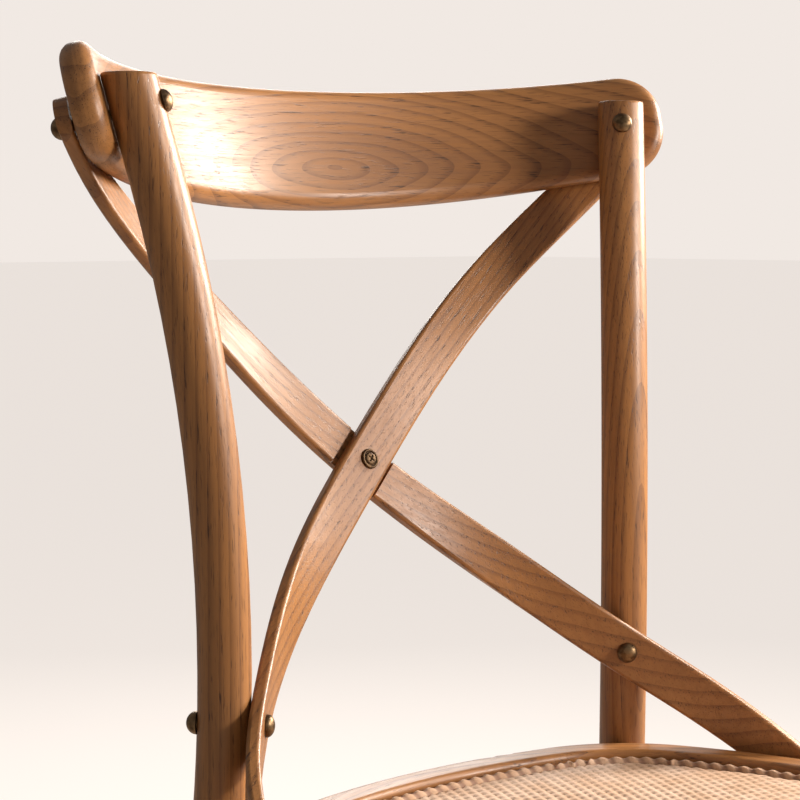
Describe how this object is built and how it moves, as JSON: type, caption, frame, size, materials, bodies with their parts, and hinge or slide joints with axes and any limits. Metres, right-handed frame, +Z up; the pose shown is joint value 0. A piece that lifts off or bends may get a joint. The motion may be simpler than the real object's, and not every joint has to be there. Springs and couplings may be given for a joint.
{
  "type": "dining chair",
  "caption": "Bent wood dining chair with a curved crest rail, crossed back slats, a round seat with a woven mat, and arched rod braces under the seat.",
  "frame": {"origin": "on the floor under the middle of the chair's bounding box", "axes": "+Z up, the sitter faces -Y, +X is the right side as seen from the front"},
  "size_m": [0.4762, 0.543, 0.8969],
  "materials": {
    "wood": "satin lacquer",
    "plywood": "raw",
    "weave": "woven fibre",
    "braid": "braided fibre",
    "bronze": "aged",
    "steel": "zinc plated",
    "plastic": "matte"
  },
  "bodies": {
    "root": {"left_back_post": "wood", "right_back_post": "wood", "left_front_leg": "wood", "right_front_leg": "wood", "crest_rail": "wood", "front_slat": "wood", "rear_slat": "wood", "seat_ring": "wood", "front_arch": "wood", "rear_arch": "wood", "left_side_arch": "wood", "right_side_arch": "wood", "seat_board": "plywood", "woven_seat": "weave", "seat_braid": "braid", "crest_bolts": "bronze", "crest_nuts": "bronze", "slat_post_bolts": "bronze", "slat_post_nuts": "bronze", "crossing_screw": "bronze", "crossing_sleeve_nut": "bronze", "slat_end_screws": "bronze", "post_seat_bolts": "bronze", "post_seat_washers": "steel", "post_seat_nuts": "steel", "brace_end_screws": "steel", "brace_top_screws": "steel", "seat_board_screws": "steel", "foot_glides": "plastic"}
  },
  "joints": []
}
